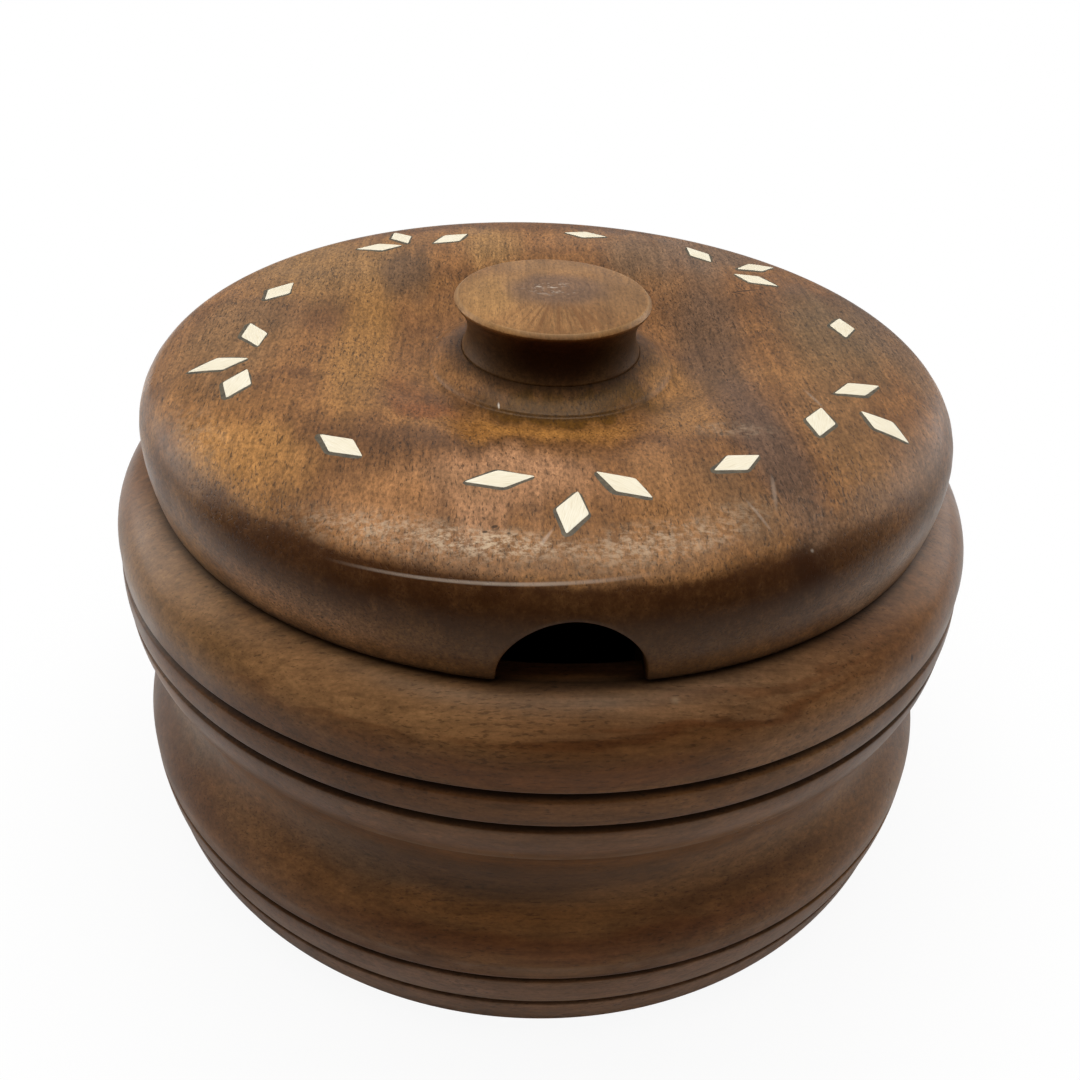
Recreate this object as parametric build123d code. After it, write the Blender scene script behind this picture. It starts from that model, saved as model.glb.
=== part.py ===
from build123d import *
import os
from math import cos, radians, sin

# Round lidded box turned in hardwood, with a spoon notch and bone diamonds let into its lid.
# Millimetres. +Z is up, the origin is the centre of the base, and the notch faces -Y.

# Bowl: heights of the foot are measured up from the base
base_radius = 65.0
base_band_bulge = 0.9
base_groove_radius = 68.8
base_groove_height = 9.5
foot_radius = 70.0
foot_groove_height = 16.5
foot_crest_height = 19.0

# Bowl: heights of the shoulder are measured down from the rim
rim_height = 66.0
rim_outer_radius = 60.3
body_radius = 70.0
shoulder_drop = 8.8
shoulder_groove_drop = 12.3
lip_groove_drop = 18.1
lip_drop = 25.9
lip_radius = 68.2
lip_undercut = 0.9
lip_bulge = 0.5
bead_bulge = 0.3
cove_radius = 65.5

# Grooves cut with the point of a skew chisel
groove_width = 1.5
groove_depth = 0.85
foot_groove_width = 1.1
foot_groove_depth = 0.65

# Bowl, inside
mouth_radius = 58.5
mouth_chamfer = 0.6
floor_thickness = 9.0
floor_corner_radius = 26.0

# Lid, outside: rises are measured up from its seat on the rim
lid_edge_radius = 63.2
lid_radius = 64.4
lid_widest_rise = 7.5
lid_corner_inset = 0.5
lid_corner_rise = 11.2
lid_shoulder_radius = 61.5
lid_shoulder_rise = 14.4
lid_brow_radius = 55.2
lid_brow_rise = 16.6
crown_radius = 44.0
crown_rise = 17.4
dish_radius = 32.0
dish_rise = 16.1
valley_rise = 13.2
pad_radius = 20.3
pad_edge_width = 0.6
pad_edge_rise = 13.6
pad_rise = 15.7

# Lid, underside
spigot_clearance = 0.5
spigot_wall = 4.0
spigot_depth = 4.0
spigot_chamfer = 0.6
hollow_rise = 11.2
hollow_centre_rise = 9.0
hollow_corner = 6.0

# Spoon notch: an arch on two short upright sides
notch_radius = 9.25
notch_side_rise = 1.2
notch_reach = 9.0
notch_chamfer = 0.5

# Knob: rises are measured up from the lid's pad
knob_foot_radius = 14.5
knob_waist_radius = 13.65
knob_waist_rise = 4.3
knob_rim_radius = 15.7
knob_rim_rise = 7.6
knob_rim_thickness = 1.3
knob_rise = 9.5
tenon_radius = 7.0
tenon_length = 4.5
tenon_side_clearance = 0.1
tenon_end_clearance = 0.2

# Bone diamonds
leaf_length = 9.2
leaf_width = 4.3
single_length = 8.6
single_width = 4.4
bone_thickness = 1.6
pocket_gap = 0.25

# Where the diamonds lie, as they were set by eye: the distance from the lid's centre,
# the bearing from the notch towards +X, and the lean of the long axis from the radius
sprigs = [
    {"middle": (50.5, 0, -13), "left": (44.5, -11.5, -69), "right": (45.0, 9, 39)},
    {"middle": (54.0, 60, -25), "left": (46.0, 54, -70), "right": (48.5, 70, 43)},
    {"middle": (52.5, 129.5, -15), "left": (47.0, 124, -70), "right": (49.5, 142, 60)},
    {"middle": (52.0, 211, -10), "left": (47.0, 201.5, -69), "right": (49.0, 218.5, 65)},
    {"middle": (52.0, 283, 8), "left": (47.0, 272, -75), "right": (50.0, 291, 59)},
]
singles = [(45.0, 30.5, 90), (50.0, 97, 75), (49.0, 169, 88), (48.5, 250.5, 84), (46.5, 320, 88)]


def ring_groove(surface_radius, height, width, depth):
    # A V groove right round the piece, with its mouth centred on the given height
    reach = depth
    half_mouth = width / 2 * (depth + reach) / depth
    outer = surface_radius + reach
    with BuildPart() as groove:
        with BuildSketch(Plane.XZ):
            with BuildLine():
                Polyline(
                    (surface_radius - depth, height),
                    (outer, height + half_mouth),
                    (outer, height - half_mouth),
                    close=True,
                )
            make_face()
        revolve(axis=Axis.Z)
    return groove.part


def bowl_blank():
    # The turned outside: foot, cove, lip, bead and the quarter round of the shoulder
    lip_height = rim_height - lip_drop
    lip_groove_height = rim_height - lip_groove_drop
    shoulder_groove_height = rim_height - shoulder_groove_drop
    shoulder_height = rim_height - shoulder_drop
    cove_height = (foot_crest_height + lip_height) / 2
    undercut = (lip_radius - lip_undercut, lip_height - lip_undercut / 2)
    with BuildPart() as blank:
        with BuildSketch(Plane.XZ):
            with BuildLine():
                Line((0, 0), (base_radius, 0))
                SagittaArc((base_radius, 0), (base_groove_radius, base_groove_height), -base_band_bulge)
                SagittaArc(
                    (base_groove_radius, base_groove_height), (foot_radius, foot_groove_height), -bead_bulge
                )
                Line((foot_radius, foot_groove_height), (foot_radius, foot_crest_height))
                Spline(
                    (foot_radius, foot_crest_height),
                    (cove_radius, cove_height),
                    undercut,
                    tangents=[(0, 1), (1, 2)],
                )
                Line(undercut, (lip_radius, lip_height))
                SagittaArc((lip_radius, lip_height), (body_radius, lip_groove_height), -lip_bulge)
                SagittaArc(
                    (body_radius, lip_groove_height), (body_radius, shoulder_groove_height), -bead_bulge
                )
                Line((body_radius, shoulder_groove_height), (body_radius, shoulder_height))
                EllipticalCenterArc(
                    (rim_outer_radius, shoulder_height),
                    body_radius - rim_outer_radius,
                    shoulder_drop,
                    start_angle=0,
                    arc_size=90,
                )
                Line((rim_outer_radius, rim_height), (0, rim_height))
                Line((0, rim_height), (0, 0))
            make_face()
        revolve(axis=Axis.Z)
    return blank.part


def bowl_hollow():
    # Straight wall that the lid's spigot slides into, and a floor with a wide round corner
    with BuildPart() as hollow:
        with BuildSketch(Plane.XZ):
            with BuildLine():
                Line((0, floor_thickness), (mouth_radius - floor_corner_radius, floor_thickness))
                RadiusArc(
                    (mouth_radius - floor_corner_radius, floor_thickness),
                    (mouth_radius, floor_thickness + floor_corner_radius),
                    -floor_corner_radius,
                )
                Polyline(
                    (mouth_radius, floor_thickness + floor_corner_radius),
                    (mouth_radius, rim_height - mouth_chamfer),
                    (mouth_radius + mouth_chamfer, rim_height),
                    (mouth_radius + mouth_chamfer, rim_height + mouth_chamfer),
                    (0, rim_height + mouth_chamfer),
                    (0, floor_thickness),
                )
            make_face()
        revolve(axis=Axis.Z)
    return hollow.part


def make_bowl():
    bowl = bowl_blank() - bowl_hollow()
    for drop in (shoulder_groove_drop, lip_groove_drop):
        bowl -= ring_groove(body_radius, rim_height - drop, groove_width, groove_depth)
    for radius, height in ((foot_radius, foot_groove_height), (base_groove_radius, base_groove_height)):
        bowl -= ring_groove(radius, height, foot_groove_width, foot_groove_depth)
    return bowl


def lid_blank():
    # The turned outside of the lid, solid from its seat up
    seat = rim_height
    pad_edge = (pad_radius - pad_edge_width, seat + pad_edge_rise)
    with BuildPart() as blank:
        with BuildSketch(Plane.XZ):
            with BuildLine():
                Line((0, seat + pad_rise), (knob_foot_radius, seat + pad_rise))
                SagittaArc((knob_foot_radius, seat + pad_rise), pad_edge, -pad_edge_width / 2)
                SagittaArc(pad_edge, (pad_radius, seat + valley_rise), pad_edge_width / 5)
                Spline(
                    (pad_radius, seat + valley_rise),
                    (dish_radius, seat + dish_rise),
                    (crown_radius, seat + crown_rise),
                    tangents=[(1, 0.1), (1, 0)],
                )
                Spline(
                    (crown_radius, seat + crown_rise),
                    (lid_brow_radius, seat + lid_brow_rise),
                    (lid_shoulder_radius, seat + lid_shoulder_rise),
                    (lid_radius - lid_corner_inset, seat + lid_corner_rise),
                    (lid_radius, seat + lid_widest_rise),
                    (lid_edge_radius, seat),
                    tangents=[(1, 0), (-1, -4)],
                )
                Polyline((lid_edge_radius, seat), (0, seat), (0, seat + pad_rise))
            make_face()
        revolve(axis=Axis.Z)
    return blank.part


def lid_spigot():
    # The ring under the lid that drops into the bowl's mouth
    outer = mouth_radius - spigot_clearance
    with BuildPart() as spigot:
        with BuildSketch(Plane.XZ):
            with BuildLine():
                Polyline(
                    (0, rim_height),
                    (outer, rim_height),
                    (outer, rim_height - spigot_depth + spigot_chamfer),
                    (outer - spigot_chamfer, rim_height - spigot_depth),
                    (0, rim_height - spigot_depth),
                    close=True,
                )
            make_face()
        revolve(axis=Axis.Z)
    return spigot.part


def lid_hollow():
    # The underside follows the dished top: highest near the wall, lower under the knob
    inner = mouth_radius - spigot_clearance - spigot_wall
    bottom = rim_height - 2 * spigot_depth
    wall_top = (inner, rim_height + hollow_rise - hollow_corner)
    roof_edge = (inner - hollow_corner, rim_height + hollow_rise)
    roof_centre = (pad_radius, rim_height + hollow_centre_rise)
    with BuildPart() as hollow:
        with BuildSketch(Plane.XZ):
            with BuildLine():
                Polyline((0, bottom), (inner, bottom), wall_top)
                RadiusArc(wall_top, roof_edge, -hollow_corner)
                Spline(roof_edge, roof_centre, tangents=[(-1, 0), (-1, 0)])
                Polyline(roof_centre, (0, roof_centre[1]), (0, bottom))
            make_face()
        revolve(axis=Axis.Z)
    return hollow.part


def spoon_notch():
    # A round tunnel through the front of the lid, with a slot below it that opens downwards
    inner = mouth_radius - spigot_clearance - spigot_wall - notch_reach
    length = lid_radius + notch_reach - inner
    middle = -inner - length / 2
    tunnel = Rot(90, 0, 0) * Cylinder(notch_radius, length)
    slot_depth = notch_side_rise + 2 * spigot_depth
    slot = Pos(0, 0, -slot_depth / 2) * Box(2 * notch_radius, length, slot_depth)
    return Pos(0, middle, rim_height + notch_side_rise) * (tunnel + slot)


def notch_outer_edges(lid):
    # The arch and its two upright sides, where the notch breaks out through the front of the lid
    arch_top = rim_height + notch_side_rise + notch_radius
    side_middle = rim_height + notch_side_rise / 2
    targets = [(0, -lid_radius, arch_top)]
    targets += [(x, -lid_edge_radius, side_middle) for x in (-notch_radius, notch_radius)]
    return [lid.edges().sort_by_distance(target)[0] for target in targets]


def tenon_socket():
    depth = tenon_length + tenon_end_clearance
    top = rim_height + pad_rise
    return Pos(0, 0, top - depth / 2) * Cylinder(tenon_radius + tenon_side_clearance, depth)


def diamond_seat(blank, place):
    # A plane on the lid's surface, with its x axis along the diamond
    radius, bearing, lean = place
    x = radius * sin(radians(bearing))
    y = -radius * cos(radians(bearing))
    above = rim_height + pad_rise + crown_rise
    point, normal = blank.find_intersection_points(Axis((x, y, above), (0, 0, -1)))[0]
    along = bearing - 90 + lean
    return Plane(origin=point, x_dir=(cos(radians(along)), sin(radians(along)), 0), z_dir=normal)


def diamond_prism(seat, length, width, gap):
    # A rhombic prism that stands through the lid's surface, grown by the gap on all sides
    rhombus = make_face(
        Polyline((length / 2, 0), (0, width / 2), (-length / 2, 0), (0, -width / 2), close=True)
    )
    if gap > 0:
        rhombus = offset(rhombus, amount=gap, kind=Kind.INTERSECTION)
    prism = extrude(rhombus, 2 * bone_thickness)
    return seat * Pos(0, 0, -bone_thickness) * prism


def diamond_places():
    # Node name, place, length and width of every diamond
    for number, sprig in enumerate(sprigs, start=1):
        for side, place in sprig.items():
            yield f"bone_leaf_{number}_{side}", place, leaf_length, leaf_width
    for number, place in enumerate(singles, start=1):
        yield f"bone_diamond_{number}", place, single_length, single_width


def make_diamonds_and_pockets(blank):
    # Each diamond is trimmed flush by the lid's own surface
    diamonds = {}
    pockets = []
    for name, place, length, width in diamond_places():
        seat = diamond_seat(blank, place)
        diamonds[name] = blank & diamond_prism(seat, length, width, 0)
        pockets.append(diamond_prism(seat, length, width, pocket_gap))
    return diamonds, pockets


def make_lid(blank, pockets):
    lid = blank + lid_spigot() - lid_hollow() - spoon_notch() - tenon_socket()
    lid = chamfer(notch_outer_edges(lid), notch_chamfer)
    for pocket in pockets:
        lid -= pocket
    return lid


def make_knob():
    # Waisted, with a thin rim, a slightly domed top and a tenon below
    foot = rim_height + pad_rise
    rim_low = (knob_rim_radius - knob_rim_thickness / 4, foot + knob_rim_rise)
    rim_high = (knob_rim_radius - knob_rim_thickness / 2, foot + knob_rim_rise + knob_rim_thickness)
    with BuildPart() as knob:
        with BuildSketch(Plane.XZ):
            with BuildLine():
                Spline(
                    (knob_foot_radius, foot),
                    (knob_waist_radius, foot + knob_waist_rise),
                    rim_low,
                    tangents=[(-0.6, 1), (1, 1)],
                )
                ThreePointArc(
                    rim_low,
                    (knob_rim_radius, foot + knob_rim_rise + knob_rim_thickness / 2),
                    rim_high,
                )
                TangentArc((0, foot + knob_rise), rim_high, tangent=(1, 0))
                Polyline(
                    (0, foot + knob_rise),
                    (0, foot - tenon_length),
                    (tenon_radius, foot - tenon_length),
                    (tenon_radius, foot),
                    (knob_foot_radius, foot),
                )
            make_face()
        revolve(axis=Axis.Z)
    return knob.part


lid_body = lid_blank()
diamonds, pockets = make_diamonds_and_pockets(lid_body)
pieces = {"bowl": make_bowl(), "lid": make_lid(lid_body, pockets), "knob": make_knob()}
pieces.update(diamonds)

os.makedirs("parts", exist_ok=True)
for name, piece in pieces.items():
    export_step(piece, f"parts/{name}.step")
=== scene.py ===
import math
import bmesh
import bpy
import numpy as np
from mathutils import Matrix, Vector


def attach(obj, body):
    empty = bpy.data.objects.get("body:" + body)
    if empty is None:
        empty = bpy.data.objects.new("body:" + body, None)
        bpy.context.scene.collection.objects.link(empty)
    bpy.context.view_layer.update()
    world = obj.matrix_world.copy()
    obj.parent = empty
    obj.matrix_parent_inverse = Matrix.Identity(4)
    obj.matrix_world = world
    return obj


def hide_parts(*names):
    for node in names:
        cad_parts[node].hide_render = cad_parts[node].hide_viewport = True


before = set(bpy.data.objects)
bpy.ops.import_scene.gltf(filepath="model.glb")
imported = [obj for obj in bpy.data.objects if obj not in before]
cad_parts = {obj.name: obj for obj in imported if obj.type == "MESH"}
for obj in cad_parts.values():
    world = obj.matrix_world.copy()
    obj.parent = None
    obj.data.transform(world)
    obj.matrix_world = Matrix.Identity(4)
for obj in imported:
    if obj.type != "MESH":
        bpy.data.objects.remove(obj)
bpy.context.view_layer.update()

mm = 0.001
curveSteps = 120           # points along a drawn curve, before a profile is thinned
hairStep = 1e-9            # added from point to point, so that an upright wall's heights climb
poleGap = 0.5              # a profile's ends stop this far from the axis, and a pole closes them


# Lines in the plane of radius and height, in millimetres
def runAlong(line):
    # The distance run along the line up to each of its points
    return np.r_[0, np.cumsum(np.linalg.norm(np.diff(line, axis=0), axis=1))]


def pointsAt(line, run, where):
    # The line's points at the given runs, by interpolation
    return np.stack([np.interp(where, run, line[:, k]) for k in (0, 1)], 1)


def climbing(profile, count):
    # The heights of a wall's first points, with a hair added so that each is above the last
    return np.maximum.accumulate(profile[:count, 1] + np.arange(count) * hairStep)


def smoothLine(points, startDirection, endDirection, steps=60):
    # A cubic through the points with the chord length as its parameter: the slopes at the inner
    # points solve the usual three-term row, and the slopes at the two ends are given
    p = np.asarray(points, float)
    h = np.linalg.norm(np.diff(p, axis=0), axis=1)
    n = len(p)
    a = np.zeros((n, n))
    b = np.zeros((n, 2))
    inner = np.arange(1, n - 1)
    a[inner, inner - 1] = h[inner]
    a[inner, inner] = 2 * (h[inner - 1] + h[inner])
    a[inner, inner + 1] = h[inner - 1]
    secant = np.diff(p, axis=0) / h[:, None]
    b[inner] = 3 * (h[inner, None] * secant[inner - 1] + h[inner - 1, None] * secant[inner])
    for end, direction in ((0, startDirection), (n - 1, endDirection)):
        a[end, end] = 1
        b[end] = np.asarray(direction, float) / np.linalg.norm(direction)
    m = np.linalg.solve(a, b)
    t = np.linspace(0, 1, steps, endpoint=False)[:, None, None]
    t2, t3 = t * t, t * t * t
    hh = h[None, :, None]
    curve = ((2 * t3 - 3 * t2 + 1) * p[None, :-1] + (t3 - 2 * t2 + t) * hh * m[None, :-1]
             + (3 * t2 - 2 * t3) * p[None, 1:] + (t3 - t2) * hh * m[None, 1:])
    return np.vstack([curve.transpose(1, 0, 2).reshape(-1, 2), p[-1:]])


def bulgedLine(start, end, bulge, steps=40):
    # A circular arc from start to end whose middle stands off the chord by the bulge, to the right
    start, end = np.asarray(start, float), np.asarray(end, float)
    chord = end - start
    length = np.linalg.norm(chord)
    side = np.array([chord[1], -chord[0]]) / length
    radius = (length * length / 4 + bulge * bulge) / (2 * abs(bulge))
    half = math.asin(length / 2 / radius)
    t = np.linspace(-half, half, steps)
    along = radius * np.sin(t) + length / 2
    off = (np.cos(t) - math.cos(half)) * radius * math.copysign(1, bulge)
    return start + along[:, None] * chord / length + off[:, None] * side


def roundArc(centre, radii, fromAngle, toAngle, steps=60):
    # Part of an ellipse about the centre, angles in degrees
    t = np.radians(np.linspace(fromAngle, toAngle, steps))
    return np.stack([centre[0] + radii[0] * np.cos(t), centre[1] + radii[1] * np.sin(t)], 1)


def rubbedProfile(parts, arris, spacing, bend):
    # The pieces of a profile joined end to end, sampled finely, averaged over the width of the
    # arris so that sharp corners turn round, and thinned to one point for so many millimetres of
    # spacing or degrees of bend, whichever comes first
    perArris, reach = 3, 9     # samples in an arris, and on either side in the average
    line = np.vstack([np.asarray(p, float) for p in parts])
    line = line[np.r_[True, np.linalg.norm(np.diff(line, axis=0), axis=1) > 1e-7]]
    run = runAlong(line)
    step = arris / perArris
    line = pointsAt(line, run, np.linspace(0, run[-1], int(run[-1] / step) + 1))
    kernel = np.exp(-0.5 * (np.arange(-reach, reach + 1) / perArris) ** 2)
    kernel /= kernel.sum()
    before = 2 * line[0] - line[reach:0:-1]
    after = 2 * line[-1] - line[-2:-reach - 2:-1]
    padded = np.vstack([before, line, after])
    line = np.stack([np.convolve(padded[:, k], kernel, "valid") for k in (0, 1)], 1)
    stride = np.diff(line, axis=0)
    heading = np.unwrap(np.arctan2(stride[:, 1], stride[:, 0]))
    turn = np.abs(np.diff(heading, prepend=heading[0]))
    length = np.linalg.norm(stride, axis=1)
    measure = np.r_[0, np.cumsum(length / spacing + turn / math.radians(bend))]
    return pointsAt(line, measure, np.linspace(0, measure[-1], int(measure[-1]) + 2))


# Meshes from whole arrays
def aroundAxis(r, angle, z):
    # Points at radius r and height z, at an angle from the notch, which faces -Y
    return np.stack([r * np.sin(angle), -r * np.cos(angle), z + 0 * angle], -1)


def turnedSheet(profile, angle):
    # Every profile point (r, z) is carried through the given angles
    return aroundAxis(profile[:, :1], angle, profile[:, 1:])


def gridFaces(rows, columns, offset=0, closed=False, flip=False):
    # Quads of a grid of vertices numbered row by row; closed joins the last column to the first
    last = columns if closed else columns - 1
    r, c = np.meshgrid(np.arange(rows - 1) * columns, np.arange(last), indexing="ij")
    n = (c + 1) % columns
    quads = np.stack([r + c, r + n, r + columns + n, r + columns + c], -1).reshape(-1, 4) + offset
    return quads[:, ::-1] if flip else quads


def meshFrom(name, vertices, faces, weld=0.0, sharpAngle=38.0):
    # One object from whole arrays; weld merges the vertices of neighbouring grids
    data = bpy.data.meshes.new(name)
    data.from_pydata(np.asarray(vertices).tolist(), [], [list(f) for f in faces])
    if weld > 0:
        work = bmesh.new()
        work.from_mesh(data)
        bmesh.ops.remove_doubles(work, verts=work.verts, dist=weld)
        work.to_mesh(data)
        work.free()
    data.update()
    data.polygons.foreach_set("use_smooth", np.ones(len(data.polygons), bool))
    data.set_sharp_from_angle(angle=math.radians(sharpAngle))
    obj = bpy.data.objects.new(name, data)
    bpy.context.scene.collection.objects.link(obj)
    return obj


def turnedFaces(count, columns):
    # Faces of a closed turning: a pole, rings of vertices and a pole
    body = gridFaces(count, columns, 1, closed=True)
    c = np.arange(columns)
    n = (c + 1) % columns
    start = np.stack([0 * c, 1 + n, 1 + c], 1)
    base = 1 + (count - 1) * columns
    end = np.stack([0 * c + base + columns, base + c, base + n], 1)
    return body.tolist() + start.tolist() + end.tolist()


def turnedPiece(name, profile, columns):
    # The profile goes round the axis at even angles, and its two ends close in poles on the axis
    ring = turnedSheet(profile, np.linspace(0, 2 * math.pi, columns, endpoint=False)).reshape(-1, 3)
    start, end = profile[0, 1], profile[-1, 1]
    vertices = np.vstack([[[0, 0, start]], ring, [[0, 0, end]]]) * mm
    return meshFrom(name, vertices, turnedFaces(len(profile), columns))


# The bowl, in millimetres. The sizes are those of the CAD source, but the beads stand a hair
# lower, to stay inside its box
bowlSet = {
    "columns": 256,        # vertices round the axis
    "baseRadius": 65.0, "baseBandBulge": 0.9,
    "baseGroove": (68.8, 9.5), "footRadius": 70.0, "footGroove": 16.5, "footCrest": 19.0,
    "rimHeight": 66.0, "rimRadius": 60.3, "bodyRadius": 70.0,
    "shoulderDrop": 8.8, "shoulderGroove": 12.3, "lipGroove": 18.1, "lipDrop": 25.9,
    "lipRadius": 68.2, "lipUndercut": 0.9, "lipBulge": 0.5, "beadBulge": 0.26, "coveRadius": 65.5,
    "grooveWidth": 1.5, "grooveDepth": 0.85, "footGrooveWidth": 1.1, "footGrooveDepth": 0.65,
    "mouthRadius": 58.5, "mouthChamfer": 0.6, "floorThickness": 9.0, "floorCorner": 26.0,
    "arris": 0.13,         # how far the sharp edges are rubbed down
    "samples": 4000,       # points down the outside, fine enough for the grooves
    "spacing": 1.8,        # the profile's points lie at most this far apart
    "bend": 9.0,           # and at most so many degrees
}


def grooveCut(line, height, width, depth):
    # The V groove bites straight into a profile: within its width the radius is held below
    # the two slopes of the V
    r, z = line[:, 0], line[:, 1]
    surface = np.interp(height, z, r)
    floor = surface - depth + np.abs(z - height) * depth / (width / 2)
    return np.stack([np.minimum(r, np.maximum(floor, surface - depth)), z], 1)


def bowlProfile():
    # Arcs and a cubic end to end: flat base, foot, cove, lip, bead, quarter-round shoulder, rim,
    # straight wall and round floor, with the V grooves cut in
    b = bowlSet
    rim = b["rimHeight"]
    lip, shoulder = rim - b["lipDrop"], rim - b["shoulderDrop"]
    lipGroove, shoulderGroove = rim - b["lipGroove"], rim - b["shoulderGroove"]
    cove = (b["coveRadius"], (b["footCrest"] + lip) / 2)
    undercut = (b["lipRadius"] - b["lipUndercut"], lip - b["lipUndercut"] / 2)
    foot, crest = (b["footRadius"], b["footGroove"]), (b["footRadius"], b["footCrest"])
    bead = (b["bodyRadius"], lipGroove), (b["bodyRadius"], shoulderGroove)
    outside = np.vstack([
        bulgedLine((b["baseRadius"], 0), b["baseGroove"], b["baseBandBulge"], curveSteps),
        bulgedLine(b["baseGroove"], foot, b["beadBulge"], curveSteps),
        [crest],
        smoothLine([crest, cove, undercut], (0, 1), (1, 2), curveSteps),
        [(b["lipRadius"], lip)],
        bulgedLine((b["lipRadius"], lip), bead[0], b["lipBulge"], curveSteps),
        bulgedLine(*bead, b["beadBulge"], curveSteps),
        [(b["bodyRadius"], shoulder)],
    ])
    run = runAlong(outside)
    outside = pointsAt(outside, run, np.linspace(0, run[-1], b["samples"]))
    for height in (shoulderGroove, lipGroove):
        outside = grooveCut(outside, height, b["grooveWidth"], b["grooveDepth"])
    for height in (b["footGroove"], b["baseGroove"][1]):
        outside = grooveCut(outside, height, b["footGrooveWidth"], b["footGrooveDepth"])
    across = b["bodyRadius"] - b["rimRadius"]
    corner, mouth, floor = b["floorCorner"], b["mouthRadius"], b["floorThickness"]
    parts = [
        [(poleGap, 0), (b["baseRadius"], 0)],
        outside,
        roundArc((b["rimRadius"], shoulder), (across, b["shoulderDrop"]), 0, 90, curveSteps),
        [(mouth + b["mouthChamfer"], rim), (mouth, rim - b["mouthChamfer"])],
        roundArc((mouth - corner, floor + corner), (corner, corner), 0, -90, steps=90),
        [(poleGap, floor)],
    ]
    return rubbedProfile(parts, b["arris"], b["spacing"], b["bend"])


# The lid, in millimetres: rises are measured up from its seat on the bowl's rim
lidSet = {
    "columns": 300,
    "edgeRadius": 63.2, "radius": 64.4, "widestRise": 7.5, "cornerInset": 0.5, "cornerRise": 11.2,
    "shoulder": (61.5, 14.4), "brow": (55.2, 16.6), "crown": (44.0, 17.4), "dish": (32.0, 16.1),
    "edgeEase": 0.5,       # how far the lower outer edge is rounded over
    "seatStrip": 0.4,      # how much of the seat is turned with the wall
    "valleyRise": 13.2, "padRadius": 20.3, "padEdgeWidth": 0.6, "padEdgeRise": 13.6, "padRise": 15.7,
    "spigotClearance": 0.5, "spigotWall": 4.0, "spigotDepth": 4.0, "spigotChamfer": 0.6,
    "hollowRise": 11.2, "hollowCentreRise": 9.0, "hollowCorner": 6.0,
    "notchRadius": 9.25, "notchSideRise": 1.2, "notchEase": 0.5, "notchBackEase": 0.2,
    "arris": 0.12, "spacing": 1.3, "insideSpacing": 2.2, "bend": 7.0,
    # The window is the part of the wall round the notch that has its own fitted mesh
    "windowAngle": 15.5, "windowRise": 13.4, "windowInside": 46.0,
    "sideRows": 5, "spigotRows": 4, "borderRows": 10, "topColumns": 22,
    "patchRings": 10, "ringSpread": 1.35,
}


def lidOutside():
    # Cubics and arcs end to end: wall, brow, crown, dish and pad, from the seat's outer edge to
    # the axis
    d, seat = lidSet, bowlSet["rimHeight"]
    low, high = (np.add(d[name], (0, seat)) for name in ("dish", "crown"))
    padEdge = (d["padRadius"] - d["padEdgeWidth"], seat + d["padEdgeRise"])
    valley = (d["padRadius"], seat + d["valleyRise"])
    wall = smoothLine([
        (d["edgeRadius"], seat), (d["radius"], seat + d["widestRise"]),
        (d["radius"] - d["cornerInset"], seat + d["cornerRise"]),
        *(np.add(d[name], (0, seat)) for name in ("shoulder", "brow")), high,
    ], (1, 4), (-1, 0), curveSteps)
    ease = d["edgeEase"]
    edge = roundArc((d["edgeRadius"] - ease, seat + ease), (ease, ease), -90, -5, steps=24)
    wall = wall[wall[:, 1] > seat + ease]
    dish = smoothLine([high, low, valley], (-1, 0), (-1, -0.1), curveSteps)
    foot = (knobSet["footRadius"], seat + d["padRise"])
    pad = [bulgedLine(valley, padEdge, -d["padEdgeWidth"] / 5),
           bulgedLine(padEdge, foot, d["padEdgeWidth"] / 2)]
    # The foot of the knob stands in a fine turned line
    line, floor = knobSet["sink"], foot[1] - knobSet["sink"]
    sunk = [(foot[0] - line, floor), (foot[0] - 3 * line, floor), (poleGap, floor)]
    start = [(d["edgeRadius"] - ease - d["seatStrip"], seat)]
    return rubbedProfile([start, edge, wall, dish, *pad, sunk], d["arris"], d["spacing"], d["bend"])


def lidInside():
    # Spigot's inner wall from its foot up, the round corner and the sagging roof
    d, seat = lidSet, bowlSet["rimHeight"]
    inner = bowlSet["mouthRadius"] - d["spigotClearance"] - d["spigotWall"]
    corner, roof, centre = d["hollowCorner"], seat + d["hollowRise"], seat + d["hollowCentreRise"]
    parts = [
        [(inner, seat - d["spigotDepth"]), (inner, roof - corner)],
        roundArc((inner - corner, roof - corner), (corner, corner), 0, 90),
        smoothLine([(inner - corner, roof), (d["padRadius"], centre)], (-1, 0), (-1, 0), steps=80),
        [(poleGap, centre)],
    ]
    return rubbedProfile(parts, d["arris"], d["insideSpacing"], d["bend"])


def resampled(profile, limit, heights, rows):
    # The profile with fixed rows below the window's top: one at each of the heights of the
    # notch's upright side, then even rows up to the limit point, then the profile as it is
    run = runAlong(profile)
    low = np.interp(heights, climbing(profile, limit), run[:limit])
    low[0] = 0
    low = np.r_[low[:-1], np.linspace(low[-1], run[limit], rows + 1)]
    return np.vstack([pointsAt(profile, run, low), profile[limit + 1:]])


def wallRadius(profile, limit, height):
    # Radius of a wall at each height, by interpolation along its climbing part
    return np.interp(height, climbing(profile, limit + 1), profile[:limit + 1, 0])


def notchOutline(half, sideHeights):
    # The arch on its two upright sides, from the left foot over the top to the right foot
    count = 2 * lidSet["borderRows"] + lidSet["topColumns"]
    t = np.linspace(0, math.pi, count + 1)
    side = np.ones(len(sideHeights) - 1)
    x = np.r_[-side, -np.cos(t), side] * half
    z = np.r_[sideHeights[:-1], sideHeights[-1] + np.sin(t) * half, sideHeights[:-1][::-1]]
    return x, z


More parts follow.
